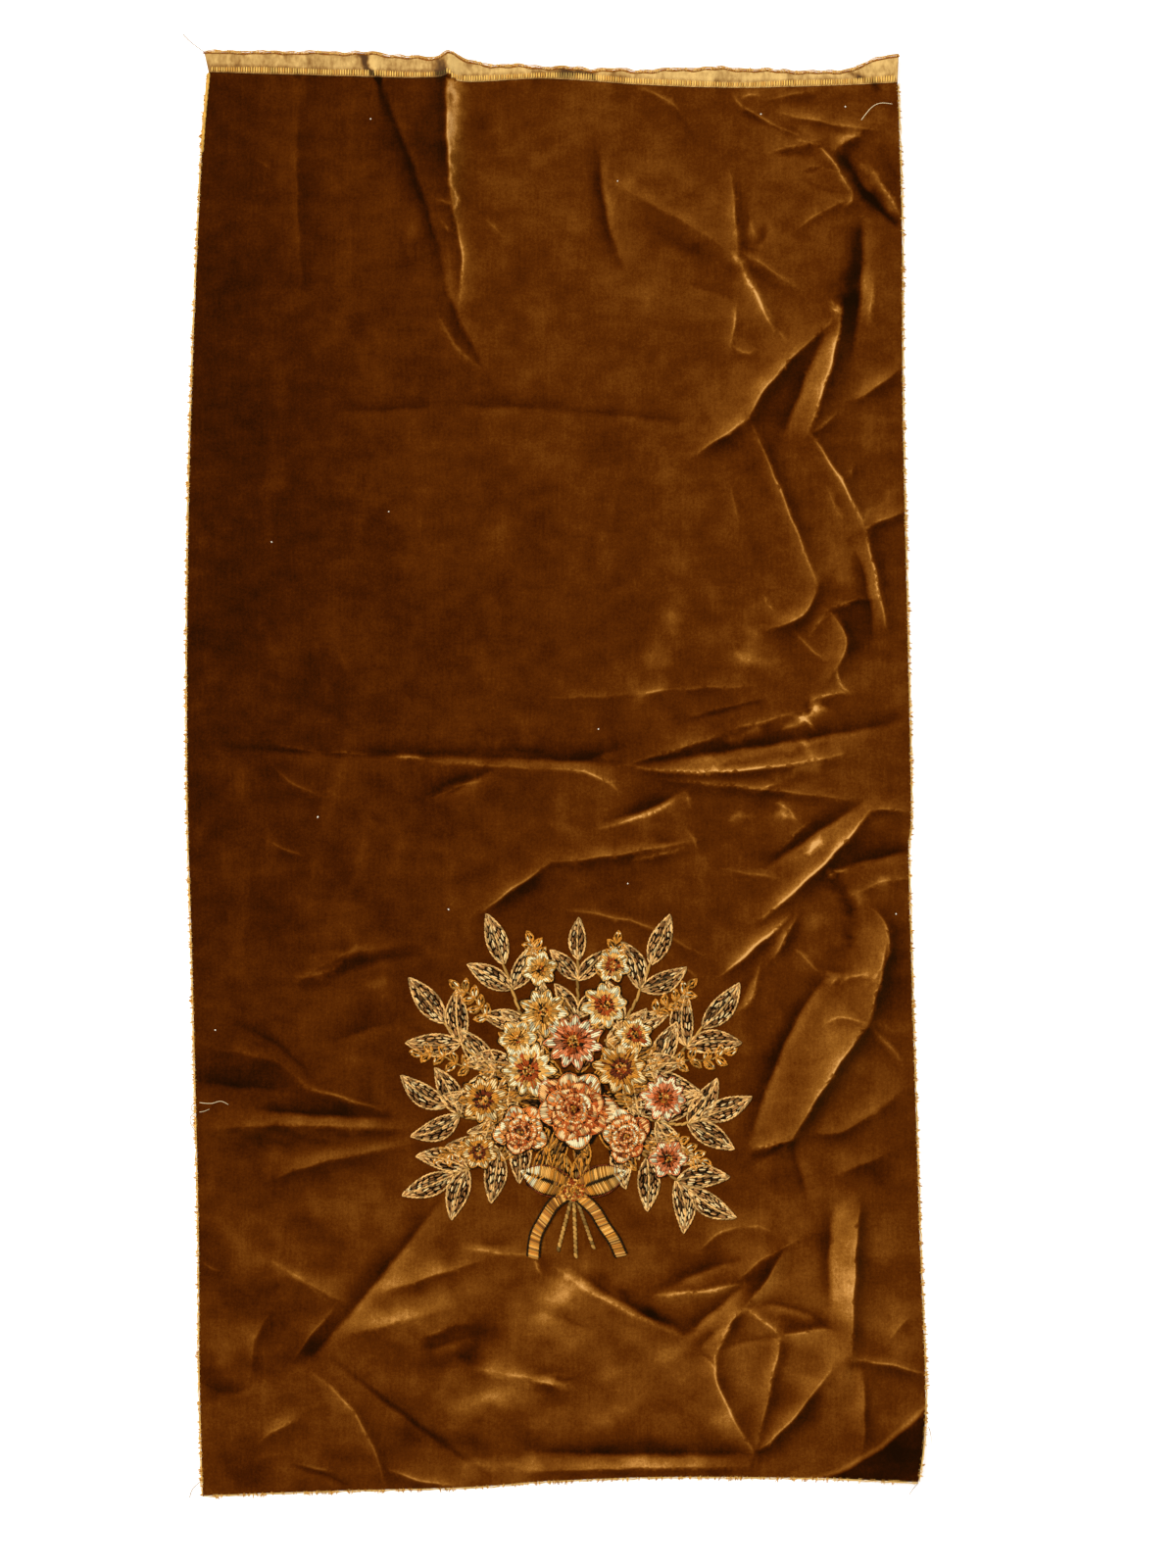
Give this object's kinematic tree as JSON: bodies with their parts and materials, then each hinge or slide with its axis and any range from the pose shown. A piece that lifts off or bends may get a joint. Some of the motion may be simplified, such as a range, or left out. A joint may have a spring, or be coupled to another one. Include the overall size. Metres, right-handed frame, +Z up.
{
  "type": "embroidered velvet length",
  "caption": "Cut length of brown pile velvet lying flat with packing folds, a bare selvedge, frayed cut edges and a raised embroidered bouquet.",
  "frame": {"origin": "on the table under the middle of the cloth's outline", "axes": "+Z up from the table, +Y towards the selvedge, +X to the right seen from above"},
  "size_m": [0.6644, 1.2838, 0.0172],
  "materials": {
    "velvet_pile": "plush cut pile with a golden sheen",
    "embroidery_thread": "satin thread",
    "ground_thread": "matt woven thread"
  },
  "bodies": {
    "root": {"velvet_panel": "velvet_pile", "embroidered_bouquet": "embroidery_thread", "fray_left": "ground_thread", "fray_right": "ground_thread", "fray_bottom": "ground_thread"}
  },
  "joints": []
}
